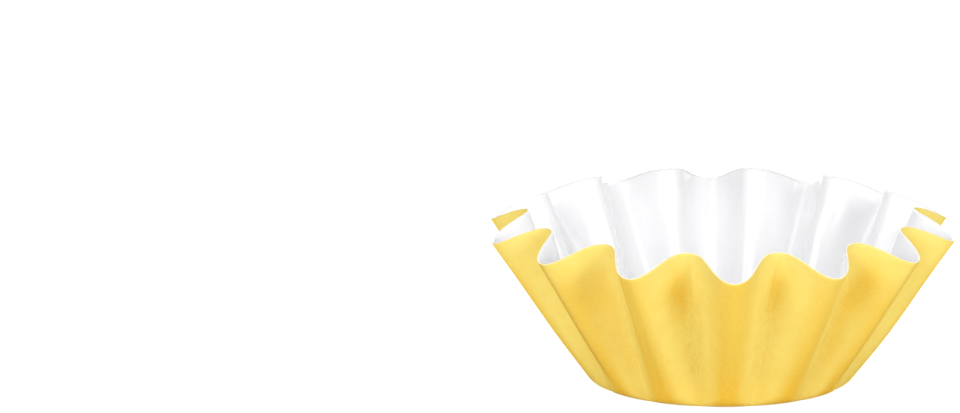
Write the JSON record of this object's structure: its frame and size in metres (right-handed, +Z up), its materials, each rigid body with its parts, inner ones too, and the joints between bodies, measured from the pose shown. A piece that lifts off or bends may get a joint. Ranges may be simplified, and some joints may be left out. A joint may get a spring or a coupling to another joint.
{
  "type": "cupcake liner",
  "caption": "Free-standing fluted paper baking cup with a flat round base and a flaring wavy side, open at the top.",
  "frame": {"origin": "centre of the base's flat underside", "axes": "+Z up, out of the cup's mouth; -Y to the front, through the crest of a flute"},
  "size_m": [0.086, 0.0882, 0.0327],
  "materials": {
    "coated_paper": "matt pastel yellow outside, white glazed coating inside"
  },
  "bodies": {
    "root": {"liner": "coated_paper"}
  },
  "joints": []
}
